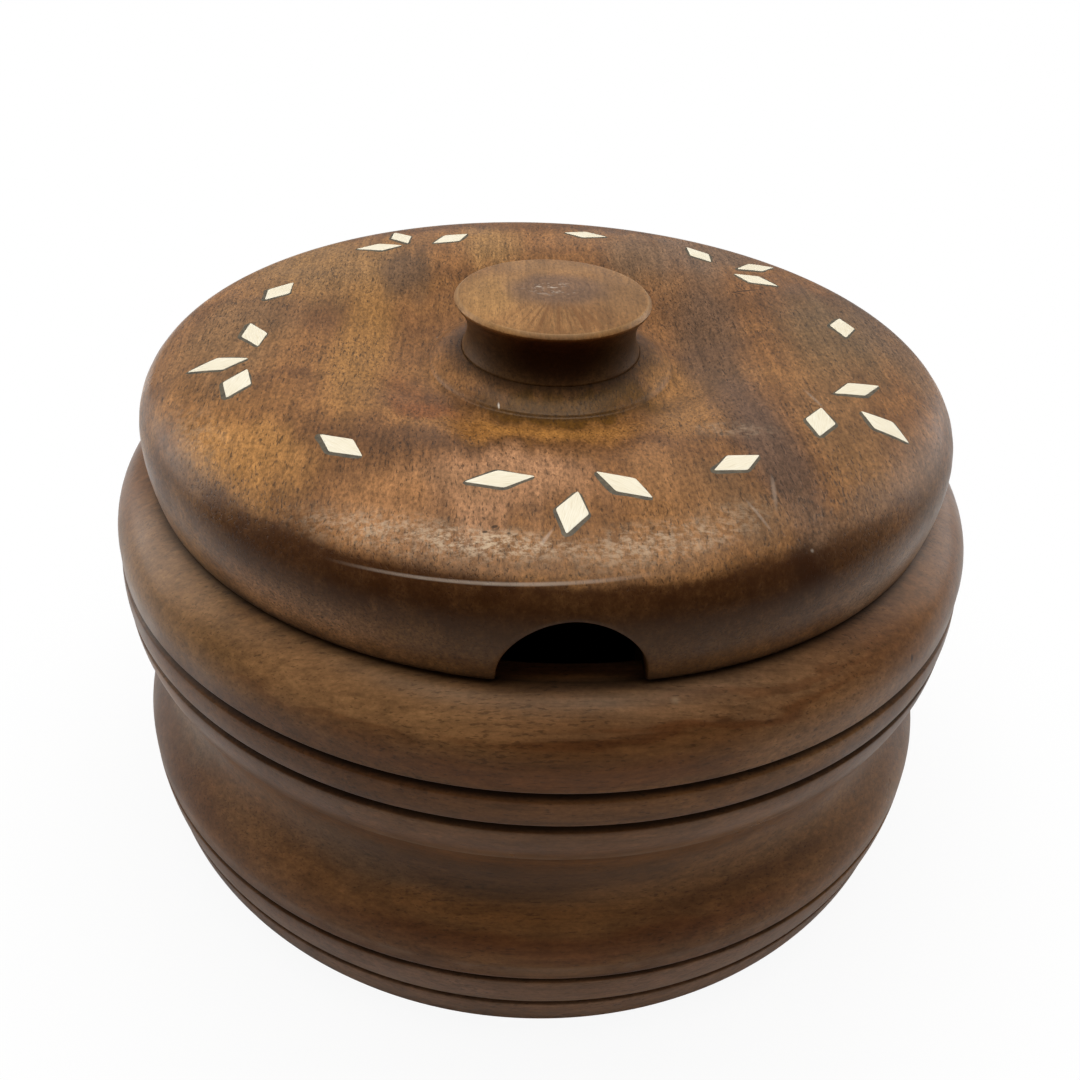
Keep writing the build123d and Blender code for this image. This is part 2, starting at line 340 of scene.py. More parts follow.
def notchPatch(profile, sideRows, half):
    # Rings from the notch's outline, t = 0, to the border of a window round it, t = 1, blended
    # evenly in (angle, run along the profile) and laid on the turned surface
    rows = sideRows + lidSet["borderRows"]
    wide = math.radians(lidSet["windowAngle"])
    s = runAlong(profile)
    x, z = notchOutline(half, profile[:sideRows + 1, 1])
    runIn = np.interp(z, climbing(profile, rows + 1), s[:rows + 1])
    runIn[:sideRows + 1] = s[:sideRows + 1]
    runIn[-sideRows - 1:] = s[:sideRows + 1][::-1]
    angleIn = np.arcsin(x / np.interp(runIn, s, profile[:, 0]))
    over = np.linspace(-wide, wide, lidSet["topColumns"] + 1)
    angleOut = np.r_[np.full(rows, -wide), over, np.full(rows, wide)]
    runOut = np.r_[s[:rows], np.full(len(over), s[rows]), s[:rows][::-1]]
    t = patchRun()[:, None]
    angle = (1 - t) * angleIn + t * angleOut
    run = (1 - t) * runIn + t * runOut
    return aroundAxis(np.interp(run, s, profile[:, 0]), angle, np.interp(run, s, profile[:, 1]))


def patchRun():
    # Shares of the way from the notch to the window's border, closer together at the notch
    return np.linspace(0, 1, lidSet["patchRings"] + 1) ** lidSet["ringSpread"]


def notchLoop(profile, rows, sideRows, half, deep):
    # The notch's outline at this half width, on the turned wall and then moved back by deep
    x, z = notchOutline(half, profile[:sideRows + 1, 1])
    return np.stack([x, deep - np.sqrt(wallRadius(profile, rows, z) ** 2 - x ** 2), z], -1)


def notchTunnel(outside, outRows, inside, inRows):
    # Over the eased front edge, straight back, and over a smaller ease into the hollow: each
    # loop between the two is a weighted mean of the loops at its ends
    d = lidSet
    half, ease, backEase, low = d["notchRadius"], d["notchEase"], d["notchBackEase"], d["spigotRows"]
    corner = 0.29 * ease       # where a rounded edge is halfway over
    before, behind = 2.4, 2.2  # how far from the spigot's outer wall the next loops stand
    front = [notchLoop(outside, outRows, d["sideRows"], half + grown, deep)
             for grown, deep in ((ease, 0.0), (corner, corner), (0.0, ease))]
    back = [notchLoop(inside, inRows, d["sideRows"] + low, half + grown, -deep)[low:-low]
            for grown, deep in ((0.0, backEase), (backEase, 0.0))]
    spigot = bowlSet["mouthRadius"] - d["spigotClearance"]
    radii = np.array([spigot + before, spigot, spigot - d["spigotChamfer"], spigot - behind])
    depth = -np.sqrt(radii ** 2 - half ** 2)
    share = (depth - front[2][0, 1]) / (back[0][0, 1] - front[2][0, 1])
    middle = [(1 - f) * front[2] + f * back[0] for f in share]
    return np.stack(front + middle + back, 1)


class ShellGrids:
    # Gathers grids of vertices and their faces for one mesh, whose borders are welded later
    def __init__(self):
        self.grids, self.faces, self.count = [], [], 0

    def keep(self, vertices, faces):
        self.grids.append(vertices)
        self.faces += faces.tolist()
        self.count += len(vertices)

    def add(self, grid, flip=False):
        self.keep(grid.reshape(-1, 3), gridFaces(*grid.shape[:2], self.count, flip=flip))

    def addPole(self, ring, height, flip):
        # A fan of triangles from the ring to a point on the axis
        c = np.arange(len(ring))
        fan = np.stack([c, (c + 1) % len(c), 0 * c + len(c)], 1) + self.count
        self.keep(np.vstack([ring, [[0, 0, height]]]), fan[:, ::-1] if flip else fan)


def makeLidShell():
    # Outer and inner turned walls, each with a fitted window round the notch, joined by the
    # notch's tunnel and by rings under the seat and the spigot
    d, seat = lidSet, bowlSet["rimHeight"]
    wide = math.radians(d["windowAngle"])
    mainAngle = np.linspace(wide, 2 * math.pi - wide, d["columns"] + 1)
    overAngle = np.linspace(-wide, wide, d["topColumns"] + 1)
    outside, inside = lidOutside(), lidInside()
    sideHeights = seat + d["notchSideRise"] * np.linspace(0, 1, d["sideRows"] + 1) ** 2
    spigotHeights = np.linspace(seat - d["spigotDepth"], seat, d["spigotRows"] + 1)
    inHeights = np.r_[spigotHeights[:-1], sideHeights]
    outTop = int(np.argmax(outside[:, 1] > seat + d["windowRise"]))
    inTop = int(np.argmax(inside[:, 0] < d["windowInside"]))
    outside = resampled(outside, outTop, sideHeights, d["borderRows"])
    inside = resampled(inside, inTop, inHeights, d["borderRows"])
    outSide, inSide = d["sideRows"], d["sideRows"] + d["spigotRows"]
    outRows, inRows = outSide + d["borderRows"], inSide + d["borderRows"]
    shell = ShellGrids()
    for profile, side, rows, grown, flip in (
            (outside, outSide, outRows, d["notchEase"], False),
            (inside, inSide, inRows, d["notchBackEase"], True)):
        shell.add(turnedSheet(profile, mainAngle), flip)
        shell.add(turnedSheet(profile[rows:], overAngle), flip)
        shell.add(notchPatch(profile, side, d["notchRadius"] + grown), flip)
        last = turnedSheet(profile[-1:], np.r_[mainAngle, overAngle[1:-1]])[0]
        shell.addPole(last, profile[-1, 1], flip)
    tunnel = notchTunnel(outside, outRows, inside, inRows)
    shell.add(tunnel)
    # The spigot's two end faces beside the notch, from the loop on its outer wall inwards
    outer = 4
    drop = np.linspace(0, 1, d["spigotRows"] + 1)[:, None]
    foot = np.full(tunnel.shape[1] - outer, d["spigotDepth"])
    foot[0] -= d["spigotChamfer"]
    cheek = tunnel[0, outer:] + np.zeros((d["spigotRows"] + 1, 1, 1))
    cheek[..., 2] = seat - drop * foot
    shell.add(cheek, flip=True)
    shell.add(cheek * (-1, 1, 1))
    # Seat, outer wall of the spigot and its foot: one run of rings that stops at the notch
    run = np.vstack([tunnel[0, :outer + 1], cheek[1:, 0], cheek[-1, 1:]])
    radius = np.hypot(run[:, 0], run[:, 1])
    start = np.arcsin(-run[:, 0] / radius)
    t = patchRun()[:, None]
    near = (1 - t) * start + t * wide
    angle = np.vstack([near, mainAngle[1:-1, None] + 0 * start, 2 * math.pi - near[::-1]]).T
    shell.add(aroundAxis(radius[:, None], angle, run[:, 2:]), flip=True)
    return meshFrom("lidShell", np.vstack(shell.grids) * mm, shell.faces, weld=0.002 * mm)


# The knob, in millimetres: rises are measured up from the lid's pad
knobSet = {
    "columns": 160,
    "footRadius": 14.5, "waistRadius": 13.65, "waistRise": 4.3, "rimRadius": 15.7,
    "rimRise": 7.6, "rimThickness": 1.3, "rise": 9.5,
    "footLine": 0.12,      # the fine line round its foot
    "sink": 0.3,           # how deep it stands in the pad
    "arris": 0.10, "spacing": 0.8, "bend": 8.0,
}


def knobProfile():
    # Foot, waist, thin rim and a top whose dome falls with the square of the radius
    k = knobSet
    foot = bowlSet["rimHeight"] + lidSet["padRise"]
    rimLow = np.array([k["rimRadius"] - k["rimThickness"] / 4, foot + k["rimRise"]])
    rimHigh = rimLow + (-k["rimThickness"] / 4, k["rimThickness"])
    rimFar = np.array([k["rimRadius"], foot + k["rimRise"] + k["rimThickness"] / 2])
    middle = (k["waistRadius"], foot + k["waistRise"])
    waist = smoothLine([(k["footRadius"], foot), middle, rimLow], (-0.6, 1), (1, 1))
    dome = foot + k["rise"] - rimHigh[1]
    top = np.linspace(1, 0.03, 30)[:, None] * (rimHigh[0], 0) + (0, foot + k["rise"])
    top[:, 1] -= dome * (top[:, 0] / rimHigh[0]) ** 2
    line, sunk = k["footLine"], foot - k["sink"]
    start = [(poleGap, sunk), (k["footRadius"] - 1.2 * line, sunk), (k["footRadius"] - line, foot)]
    return rubbedProfile([start, waist[3:], [rimFar], top], k["arris"], k["spacing"], k["bend"])


# The bone diamonds, let in by eye: distance from the axis, bearing from the notch towards +X
# and lean of the long axis, as in the CAD source
sprigs = [
    {"middle": (50.5, 0, -13), "left": (44.5, -11.5, -69), "right": (45.0, 9, 39)},
    {"middle": (54.0, 60, -25), "left": (46.0, 54, -70), "right": (48.5, 70, 43)},
    {"middle": (52.5, 129.5, -15), "left": (47.0, 124, -70), "right": (49.5, 142, 60)},
    {"middle": (52.0, 211, -10), "left": (47.0, 201.5, -69), "right": (49.0, 218.5, 65)},
    {"middle": (52.0, 283, 8), "left": (47.0, 272, -75), "right": (50.0, 291, 59)},
]
singles = [(45.0, 30.5, 90), (50.0, 97, 75), (49.0, 169, 88), (48.5, 250.5, 84), (46.5, 320, 88)]
inlaySet = {
    "leaf": (9.2, 4.3), "single": (8.6, 4.4),
    "uneven": 0.05,        # how much the sawn sizes differ from piece to piece
    "skew": 0.10,          # and how far the widest place lies off the middle
    "perSide": 14,         # points along each side of a diamond
    "proud": 0.07,         # how far the bone stands above the wood
    "deep": 1.5,
    "fillerProud": 0.03,
    "fillerWidth": 0.36,   # the dark line of filler round the bone
    "fillerWander": 0.26,
    # the pockets are a little too large on this side
    "fillerDrift": (-0.14, -0.28),   # the line of filler is shifted this way, so it shows wider at the front left
}


def rhombusOutline(length, width, skew, grow=0.0):
    # Corners at the ends of the two axes; each side is divided evenly, the corners are drawn in
    # a little, so that they are not needle sharp, and the line may grow outwards
    a, b = length / 2, width / 2
    corners = np.array([[a, 0], [skew * a, b], [-a, 0], [skew * a, -b]])
    following = np.roll(corners, -1, axis=0)
    t = np.linspace(0, 1, inlaySet["perSide"], endpoint=False)[None, :, None]
    line = (corners[:, None] * (1 - t) + following[:, None] * t).reshape(-1, 2)
    soft = (np.roll(line, 1, axis=0) + 2 * line + np.roll(line, -1, axis=0)) / 4
    normal = np.roll(soft, -1, axis=0) - np.roll(soft, 1, axis=0)
    normal = np.stack([normal[:, 1], -normal[:, 0]], 1)
    normal /= np.linalg.norm(normal, axis=1)[:, None]
    return soft + normal * np.asarray(grow)[..., None]


def inlaySlab(name, place, outline, surface, levels, drift=(0, 0)):
    # Rings of the outline, each scaled and lifted off the lid's surface by its level, closed by
    # a pole above and one below
    radius, bearing, lean = place
    b, turn = math.radians(bearing), math.radians(bearing - 90 + lean)
    centre = np.array([radius * math.sin(b), -radius * math.cos(b)]) + drift
    axes = np.array([[math.cos(turn), math.sin(turn)], [-math.sin(turn), math.cos(turn)]])
    scale, lift = np.array(levels).T[..., None]
    flat = scale[..., None] * outline @ axes + centre
    r = np.hypot(flat[..., 0], flat[..., 1])
    z = np.interp(r, surface[::-1, 0], surface[::-1, 1]) + lift
    ring = np.concatenate([flat, z[..., None]], -1).reshape(-1, 3)
    middle = np.interp(radius, surface[::-1, 0], surface[::-1, 1])
    poles = np.array([[*centre, middle + lift[0, 0]], [*centre, middle + lift[-1, 0]]])
    vertices = np.vstack([poles[:1], ring, poles[1:]]) * mm
    faces = [f[::-1] for f in turnedFaces(len(levels), len(outline))]
    obj = meshFrom(name, vertices, faces, sharpAngle=50)
    along = (flat - centre) @ axes.T
    uv = np.vstack([[0, 0], along.reshape(-1, 2), [0, 0]])
    uv = np.hstack([uv, np.zeros((len(uv), 1))]).astype(np.float32)
    attribute = obj.data.attributes.new("alongBone", "FLOAT_VECTOR", "POINT")
    attribute.data.foreach_set("vector", uv.ravel())
    return obj


def diamondPlaces():
    # The name, the place and the size of each diamond, sprig by sprig
    for number, sprig in enumerate(sprigs, start=1):
        for side, place in sprig.items():
            yield f"leaf_{number}_{side}", place, inlaySet["leaf"]
    for number, place in enumerate(singles, start=1):
        yield f"diamond_{number}", place, inlaySet["single"]


def makeInlays(surface):
    # Each diamond differs a little from the next, by a fixed draw, and sits in a wandering line
    # of filler, whose width is a sum of five waves round the outline
    s = inlaySet
    draw = np.random.default_rng(11)
    top, flat, deep = s["proud"], s["fillerProud"], s["deep"]
    # Each level is a share of the outline's size and a height over the wood
    boneLevels = [(0.3, top), (0.6, top), (0.85, top), (0.95, top - 0.01),
                  (0.99, top - 0.035), (1.0, 0.0), (1.0, -deep)]
    fillerLevels = [(0.5, flat), (0.9, flat), (1.0, -0.02), (1.0, -0.8 * deep)]
    pieces = []
    for name, place, (length, width) in diamondPlaces():
        length, width = (size * (1 + s["uneven"] * draw.uniform(-1, 0.4)) for size in (length, width))
        skew = s["skew"] * draw.uniform(-1, 1)
        outline = rhombusOutline(length, width, skew)
        bone = inlaySlab("inlay_" + name, place, outline, surface, boneLevels)
        t = np.linspace(0, 2 * math.pi, len(outline), endpoint=False)
        waves = sum(np.sin(k * t + draw.uniform(0, 2 * math.pi)) / k for k in range(1, 6))
        grow = s["fillerWidth"] + s["fillerWander"] * np.clip(0.35 + 0.6 * waves, 0, 2)
        line = rhombusOutline(length, width, skew, grow)
        filler = inlaySlab("filler_" + name, place, line, surface, fillerLevels, s["fillerDrift"])
        pieces.append(("bone_" + name, bone, filler))
    return pieces


# Materials
class NodeDesk:
    # Lays nodes side by side and joins them; a value may be a number, a colour or a socket
    def __init__(self, name):
        self.material = bpy.data.materials.new(name)
        self.material.use_nodes = True
        self.tree = self.material.node_tree
        self.tree.nodes.clear()
        self.count = 0

    def node(self, kind, settings=None, **inputs):
        made = self.tree.nodes.new(kind)
        made.location = (200 * (self.count % 12), -260 * (self.count // 12))
        self.count += 1
        for key, value in (settings or {}).items():
            setattr(made, key, value)
        for key, value in inputs.items():
            self.put(made, key.replace("_", " "), value)
        return made

    def put(self, node, key, value):
        # A key such as i2 is an input's number, any other is its name
        socket = node.inputs[int(key[1:])] if key[0] == "i" and key[1:].isdigit() else node.inputs[key]
        if isinstance(value, bpy.types.NodeSocket):
            self.tree.links.new(value, socket)
        elif hasattr(value, "__len__") and socket.type == "RGBA" and len(value) == 3:
            socket.default_value = (*value, 1.0)
        else:
            socket.default_value = value

    def objectPlace(self):
        return self.node("ShaderNodeTexCoord").outputs["Object"]

    def attribute(self, name, output="Fac"):
        return self.node("ShaderNodeAttribute", {"attribute_name": name}).outputs[output]

    def math(self, operation, a, b=0.0, c=0.0, clamp=False):
        settings = {"operation": operation, "use_clamp": clamp}
        return self.node("ShaderNodeMath", settings, i0=a, i1=b, i2=c).outputs[0]

    def times(self, first, *others, clamp=False):
        # The product of the values, taken from left to right
        for other in others:
            first = self.math("MULTIPLY", first, other, clamp=clamp)
        return first

    def vector(self, operation, *values, output=0):
        inputs = {f"i{index}": value for index, value in enumerate(values)}
        return self.node("ShaderNodeVectorMath", {"operation": operation}, **inputs).outputs[output]

    def ramp(self, factor, stops):
        made = self.node("ShaderNodeValToRGB", Fac=factor)
        elements = made.color_ramp.elements
        while len(elements) < len(stops):
            elements.new(0.5)
        for element, (place, colour) in zip(elements, stops):
            element.position = place
            colour = (colour,) * 3 if isinstance(colour, (int, float)) else colour
            element.color = (*colour, 1.0)
        return made.outputs["Color"]

    def mix(self, factor, a, b, blend="MIX"):
        settings = {"data_type": "RGBA", "blend_type": blend, "clamp_factor": True}
        return self.node("ShaderNodeMix", settings, i0=factor, i6=a, i7=b).outputs[2]

    def tinted(self, colour, mask, strength, tint):
        # The tint laid over the colour where the mask is, at this strength
        return self.mix(self.times(mask, strength), colour, tint)

    def layered(self, colour, share, value, stops):
        # The colour times a ramp of the value, as far as the share says
        return self.mix(share, colour, self.ramp(value, stops), "MULTIPLY")

    def noise(self, vector, scale, detail=3.0, roughness=0.55, distortion=0.0, output="Fac"):
        return self.node("ShaderNodeTexNoise", Vector=vector, Scale=scale, Detail=detail,
                         Roughness=roughness, Distortion=distortion).outputs[output]

    def stretched(self, vector, scale, turn=(0, 0, 0), place=(0, 0, 0)):
        return self.node("ShaderNodeMapping", Vector=vector, Location=place,
                         Rotation=[math.radians(v) for v in turn], Scale=scale).outputs[0]

    def between(self, value, low, high, least=0.0, most=1.0):
        # The least below low, the most above high, and a soft step between
        settings = {"interpolation_type": "SMOOTHSTEP"}
        return self.node("ShaderNodeMapRange", settings, Value=value, i1=low, i2=high,
                         i3=least, i4=most).outputs[0]

    def bump(self, height, strength, reach):
        return self.node("ShaderNodeBump", Strength=strength, Distance=reach * mm,
                         Height=height).outputs[0]

    def surface(self, shader):
        self.node("ShaderNodeOutputMaterial", Surface=shader)
        return self.material

    def finish(self, colour, roughness, bump, **more):
        shader = self.node("ShaderNodeBsdfPrincipled", Base_Color=colour, Roughness=roughness,
                           Normal=bump, **more)
        return self.surface(shader.outputs[0])


# Wood
def frayed(desk, coordinates, s):
    # Coordinates pushed about most along the grain, so that patches end in long feathers: two
    # noises centred on nought, times the fray on each axis
    along, across = (8, 260) if s["turn"] == 0 else (260, 8)
    feather = desk.noise(desk.stretched(coordinates, (along, across, 260)), 1.0, 3.0, 0.5, output="Color")
    wave = desk.noise(coordinates, 38.0, 2.0, 0.5, output="Color")
    centred = desk.vector("SUBTRACT", desk.vector("ADD", feather, wave), (1.0, 1.0, 1.0))
    return desk.vector("ADD", coordinates, desk.vector("MULTIPLY", centred, s["fray"]))


def patchMask(desk, place, centre, radii, turn, solid):
    # 1 inside an ellipsoid about the centre, falling softly to 0 at its rim
    local = desk.node("ShaderNodeMapping", {"vector_type": "TEXTURE"}, Vector=place,
                      Location=[v * mm for v in centre], Rotation=(0, 0, math.radians(turn)),
                      Scale=[v * mm for v in radii]).outputs[0]
    return desk.between(desk.vector("LENGTH", local, output="Value"), 1.0, solid)


def patched(desk, place, colour, rows):
    # Each row has a centre, radii and a turn in millimetres and degrees, a colour, a strength
    # and the share of the ellipsoid that is solid
    for centre, radii, turn, tint, strength, solid in rows:
        mask = patchMask(desk, place, centre, radii, turn, solid)
        colour = desk.tinted(colour, mask, strength, tint)
    return colour


def spotSum(desk, coordinates, rows, solid):
    # The masks of the rows' ellipsoids, each times its strength, added up
    total = 0.0
    for centre, radii, turn, strength in rows:
        mask = patchMask(desk, coordinates, centre, radii, turn, solid)
        total = desk.math("MULTIPLY_ADD", mask, strength, total)
    return total


# The fine grain that all three woods share. Noise scales are per metre: along the grain, across
# it and across it again
grainSet = {
    "streaks": (45, 1100, 1100), "streakStops": [(0.30, 0.40), (0.50, 1.0), (0.70, 1.55)],
    "speckle": (1100, 2300, 2300), "speckleStops": [(0.32, 0.45), (0.50, 1.0), (0.68, 1.5)],
    "mottle": 150.0, "mottleStops": [(0.3, 0.65), (0.5, 1.0), (0.7, 1.3)],
    "pores": (700, 3400, 3400), "poreStart": (0.70, 0.80), "poreColour": (0.022, 0.011, 0.006),
    # The near black of painted shade, with grime in the grooves
    "shadeAndGrime": (0.006, 0.003, 0.002),
    "polish": {"Specular_IOR_Level": 0.22, "Specular_Tint": (1.0, 0.80, 0.62)},
}


def woodMaterial(name, s, wear):
    # Broad bands of colour along the grain, patches of figure, fine streaks and
    # speckle over them, short dark pores, and painted shade, grime and wear where the attributes say
    desk = NodeDesk(name)
    g = grainSet
    coordinates = desk.objectPlace()
    place = frayed(desk, coordinates, s)
    bands = desk.noise(desk.stretched(place, s["bands"]), 1.0, 4.0, 0.6, 0.4)
    colour = patched(desk, place, desk.ramp(bands, s["ramp"]), s["patches"])
    colour = desk.mix(1.0, colour, s["warmth"], "MULTIPLY")
    grain = desk.stretched(coordinates, (1, 1, 1), (0, 0, s["turn"]))
    streaks = desk.noise(desk.stretched(grain, g["streaks"]), 1.0, 4.0, 0.65)
    colour = desk.layered(colour, s["streaks"], streaks, g["streakStops"])
    speckle = desk.noise(desk.stretched(grain, g["speckle"]), 1.0, 3.0, 0.7)
    colour = desk.layered(colour, s["speckle"], speckle, g["speckleStops"])
    mottle = desk.noise(coordinates, g["mottle"], 3.0, 0.6)
    colour = desk.layered(colour, 0.4, mottle, g["mottleStops"])
    pores = desk.noise(desk.stretched(grain, g["pores"]), 1.0, 2.0, 0.5)
    crowd = desk.noise(coordinates, 60.0, 2.0)
    pit = desk.between(desk.math("MULTIPLY_ADD", crowd, 0.22, pores), *g["poreStart"])
    colour = desk.tinted(colour, pit, s["pores"], g["poreColour"])
    height = desk.math("SUBTRACT", desk.times(streaks, 0.35), pit)
    matt, (low, high) = desk.noise(coordinates, 70.0, 4.0, 0.65), s["roughness"]
    roughness = desk.node("ShaderNodeMapRange", Value=matt, i1=0.3, i2=0.7, i3=low, i4=high).outputs[0]
    colour, roughness = wear(desk, coordinates, colour, roughness)
    # Painted shade, with grime in the grooves, darkens the colour where the vertices say
    shadeAndGrime = desk.attribute("shadeAndGrime")
    colour = desk.tinted(colour, shadeAndGrime, 0.93, g["shadeAndGrime"])
    roughness = desk.math("MULTIPLY_ADD", shadeAndGrime, 0.15, roughness, clamp=True)
    return desk.finish(colour, roughness, desk.bump(height, s["bump"], 0.2), **g["polish"])


# The bowl's wood. Colours are plain albedos
bowlWoodSet = {
    "turn": 0,             # the grain runs from left to right
    "warmth": (1.0, 1.0, 0.95),
    "fray": (0.016, 0.004, 0.006), "bands": (7.0, 30.0, 52.0),
    "ramp": [
        (0.28, (0.075, 0.028, 0.011)), (0.42, (0.125, 0.050, 0.018)), (0.53, (0.175, 0.074, 0.026)),
        (0.66, (0.225, 0.100, 0.036)), (0.80, (0.280, 0.136, 0.052)),
    ],
    "streaks": 0.5, "speckle": 0.35, "pores": 0.45, "roughness": (0.27, 0.42), "bump": 0.12,
    "patches": [
        ((-52, -40, 62), (34, 30, 9), 0, (0.265, 0.138, 0.056), 0.70, 0.3),
        ((-26, -60, 63.5), (26, 20, 6.5), 0, (0.320, 0.165, 0.072), 0.65, 0.3),
        ((22, -66, 64.2), (50, 20, 3.2), 0, (0.300, 0.158, 0.078), 0.65, 0.3),
        ((0, -68, 57.0), (36, 30, 3.0), 0, (0.150, 0.050, 0.013), 0.75, 0.4),
        ((37, -60, 56.5), (20, 20, 8.0), 0, (0.320, 0.154, 0.064), 0.62, 0.4),
        ((16, -68, 61.6), (44, 30, 0.8), 0, (0.120, 0.040, 0.012), 0.65, 0.3),
        ((30, -62, 63.6), (30, 30, 0.6), 0, (0.140, 0.052, 0.018), 0.55, 0.3),
        ((-30, -62, 59.8), (30, 30, 0.7), 0, (0.140, 0.056, 0.020), 0.50, 0.3),
        ((54, -46, 62), (24, 28, 7), 0, (0.200, 0.086, 0.034), 0.30, 0.3),
        ((-46, -50, 25.5), (15, 20, 5), 0, (0.250, 0.120, 0.050), 0.60, 0.2),
        ((-27, -60, 31), (15, 16, 6), 0, (0.115, 0.062, 0.034), 0.60, 0.3),
        ((-58, -34, 33), (14, 24, 8), 0, (0.200, 0.130, 0.085), 0.60, 0.3),
        ((-8, -64, 33), (38, 14, 5), 0, (0.084, 0.034, 0.012), 0.78, 0.3),
        ((-6, -66, 27), (24, 16, 2.8), 0, (0.215, 0.086, 0.026), 0.70, 0.2),
        ((18, -64, 30), (18, 16, 2.4), 0, (0.190, 0.080, 0.028), 0.55, 0.2),
        ((38, -55, 34), (20, 22, 3), 0, (0.210, 0.090, 0.034), 0.60, 0.2),
        ((28, -60, 26), (26, 22, 2.2), 0, (0.110, 0.042, 0.015), 0.55, 0.3),
        ((4, -66, 22.2), (46, 22, 3.0), 0, (0.120, 0.038, 0.011), 0.75, 0.4),
        ((0, -69, 44), (76, 40, 5), 0, (0.240, 0.118, 0.056), 0.40, 0.5),
        ((0, -69, 10), (80, 50, 9), 0, (0.270, 0.150, 0.095), 0.50, 0.5),
    ],
    "marks": [             # a scratch and a pale spot on the shoulder
        ((48.4, -50.2, 59.2), (0.4, 0.4, 1.3), 0, (0.012, 0.005, 0.003), 0.80, 0.3),
        ((12.8, -64.2, 64.6), (0.9, 0.7, 0.6), 0, (0.50, 0.36, 0.22), 0.35, 0.0),
    ],
    "worn": (0.26, 0.17, 0.11),
}


def bowlWear(desk, coordinates, colour, roughness):
    # Turned arrises are rubbed paler, in short runs
    broken = desk.between(desk.noise(coordinates, 90.0, 4.0, 0.7), 0.38, 0.60)
    worn = desk.times(desk.attribute("worn"), broken)
    colour = desk.tinted(colour, worn, 0.6, bowlWoodSet["worn"])
    return patched(desk, coordinates, colour, bowlWoodSet["marks"]), roughness
